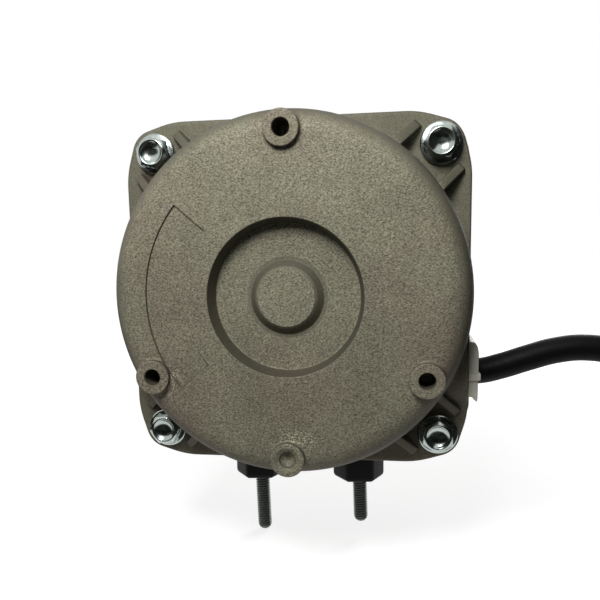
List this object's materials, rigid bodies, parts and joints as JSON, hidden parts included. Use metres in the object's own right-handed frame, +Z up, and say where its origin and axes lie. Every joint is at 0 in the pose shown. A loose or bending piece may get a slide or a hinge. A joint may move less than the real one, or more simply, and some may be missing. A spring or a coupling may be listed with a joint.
{
  "type": "shaded pole motor",
  "caption": "Square die-cast shaded pole fan motor with a domed rear cover, hex washer-head screws, stud feet below and a flexible cord from one side.",
  "frame": {"origin": "midway between the two foot studs, in the plane of the foot spacers' lower faces", "axes": "+Z up along the studs, +Y along the shaft from the domed rear cover to the shaft's free end, +X to the side where the cord comes out"},
  "size_m": [0.2215, 0.1069, 0.113],
  "materials": {
    "cast_shell": "matt as-cast zinc-aluminium with a warm grey grain",
    "lamination": "stacked sheet edges, thinly oiled",
    "copper": "bare copper, drawn",
    "coil_enamel": "enamelled copper wire, layered",
    "bobbin": "moulded natural polyamide",
    "bronze": "sintered, oil-filled",
    "spring_steel": "cold rolled",
    "felt": "oil-soaked wool felt",
    "ground_steel": "ground bright",
    "cage_aluminium": "die-cast",
    "screw_zinc": "bright blue-white zinc plate",
    "stud_zinc": "dull zinc plate",
    "nylon": "natural cream, semi-matt",
    "foot_black": "moulded black",
    "tie_black": "moulded black",
    "cord_sheath": "satin black sheath",
    "core_brown": "brown insulation",
    "core_blue": "blue insulation",
    "core_green": "green insulation with a yellow stripe"
  },
  "bodies": {
    "motor": {"rear_cover": "cast_shell", "front_cover": "cast_shell", "stator_yoke": "lamination", "pole_star": "lamination", "rear_bearing": "bronze", "front_bearing": "bronze", "rear_bearing_clip": "spring_steel", "front_bearing_clip": "spring_steel", "rear_oil_felt": "felt", "front_oil_felt": "felt", "cable_grommet": "nylon", "foot_spacer_left": "foot_black", "foot_spacer_right": "foot_black", "foot_stud_left": "stud_zinc", "foot_stud_right": "stud_zinc", "earth_tag": "screw_zinc", "earth_screw": "screw_zinc", "lead_brown": "core_brown", "lead_blue": "core_blue", "lead_earth": "core_green", "supply_cord": "cord_sheath", "cord_coil": "cord_sheath", "cord_tie": "tie_black", "core_brown": "core_brown", "core_blue": "core_blue", "core_earth": "core_green", "bobbin_1": "bobbin", "coil_1": "coil_enamel", "shading_ring_1": "copper", "cover_screw_1": "screw_zinc", "bobbin_2": "bobbin", "coil_2": "coil_enamel", "shading_ring_2": "copper", "cover_screw_2": "screw_zinc", "bobbin_3": "bobbin", "coil_3": "coil_enamel", "shading_ring_3": "copper", "cover_screw_3": "screw_zinc", "bobbin_4": "bobbin", "coil_4": "coil_enamel", "shading_ring_4": "copper", "cover_screw_4": "screw_zinc"},
    "rotor": {"shaft": "ground_steel", "rotor_core": "lamination", "rotor_cage": "cage_aluminium", "thrust_washer_rear": "spring_steel", "thrust_washer_front": "spring_steel"}
  },
  "joints": [
    {"name": "rotor_spin", "type": "hinge", "parent": "motor", "child": "rotor", "pos_m": [0, 0, 0.0537], "axis": [0, 1, 0], "continuous": true}
  ]
}
